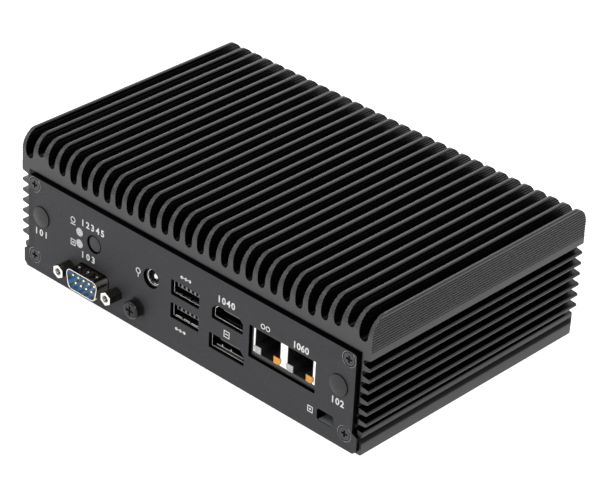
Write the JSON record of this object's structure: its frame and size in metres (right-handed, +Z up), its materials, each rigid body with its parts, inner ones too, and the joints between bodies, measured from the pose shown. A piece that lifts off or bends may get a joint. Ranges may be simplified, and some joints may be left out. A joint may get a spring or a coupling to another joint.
{
  "type": "fanless industrial computer",
  "caption": "Small industrial computer whose ribbed aluminium housing is its own cooler, with a front panel of data, video, network, serial and power sockets.",
  "frame": {"origin": "centre of the bottom face, under the middle of the extrusion's length", "axes": "+X to the right as seen from the socket side, +Y from the socket panel to the rear, +Z up to the fin tips"},
  "size_m": [0.1718, 0.121, 0.055],
  "materials": {
    "black_anodised": "satin anodised",
    "panel_coat": "fine powder coat",
    "plug_plastic": "moulded",
    "black_steel": "black oxide",
    "dark_washer": "black oxide",
    "zinc_steel": "zinc plated",
    "button_plastic": "moulded",
    "black_plastic": "moulded",
    "clear_plastic": "clear moulded",
    "amber_plastic": "tinted clear",
    "nickel": "nickel plated",
    "blue_plastic": "moulded",
    "gold": "gold flashed",
    "board_green": "solder mask",
    "chip_black": "moulded",
    "pad_grey": "soft",
    "raw_aluminium": "milled",
    "cell_steel": "bright",
    "ribbon_grey": "flat ribbon"
  },
  "bodies": {
    "case": {"antenna_plug_left": "plug_plastic", "antenna_plug_right": "plug_plastic", "board_screws": "zinc_steel", "board_standoffs": "zinc_steel", "bottom_cover": "panel_coat", "bottom_cover_screws": "black_steel", "coin_cell": "cell_steel", "coin_cell_holder": "black_plastic", "data_socket_contacts": "gold", "data_socket_insert": "black_plastic", "data_socket_shell": "nickel", "front_panel": "panel_coat", "front_panel_screws": "black_steel", "ground_lock_washer": "dark_washer", "ground_nut": "zinc_steel", "ground_screw": "black_steel", "ground_washer": "dark_washer", "heat_block": "raw_aluminium", "heat_block_screws": "zinc_steel", "heatsink_body": "black_anodised", "indicator_holder": "black_plastic", "indicator_light_pipes": "clear_plastic", "mainboard": "board_green", "memory_module": "board_green", "memory_socket": "black_plastic", "mounting_nuts": "zinc_steel", "network_chips": "chip_black", "network_contacts": "gold", "network_housing": "black_plastic", "network_lamps_amber": "amber_plastic", "network_lamps_clear": "clear_plastic", "network_shield": "nickel", "power_capacitors": "raw_aluminium", "power_coils": "chip_black", "power_jack_body": "black_plastic", "power_jack_pin": "gold", "power_jack_sleeve": "zinc_steel", "power_switch": "black_plastic", "processor": "chip_black", "rear_panel": "panel_coat", "rear_panel_screws": "black_steel", "serial_header": "black_plastic", "serial_insert": "blue_plastic", "serial_jackscrews": "nickel", "serial_pins": "gold", "serial_plug": "black_plastic", "serial_ribbon": "ribbon_grey", "serial_shell": "nickel", "storage_module": "board_green", "storage_post": "zinc_steel", "storage_socket": "black_plastic", "thermal_pad": "pad_grey", "video_socket_carrier": "black_plastic", "video_socket_lower_shell": "nickel", "video_socket_lower_tongue": "black_plastic", "video_socket_upper_shell": "nickel", "video_socket_upper_tongue": "black_plastic"},
    "button": {"power_button": "button_plastic"}
  },
  "joints": [
    {"name": "power_button_press", "type": "slide", "parent": "case", "child": "button", "axis": [0, 1, 0], "range_m": [0, 0.001], "stiffness_N_per_m": 1200}
  ]
}
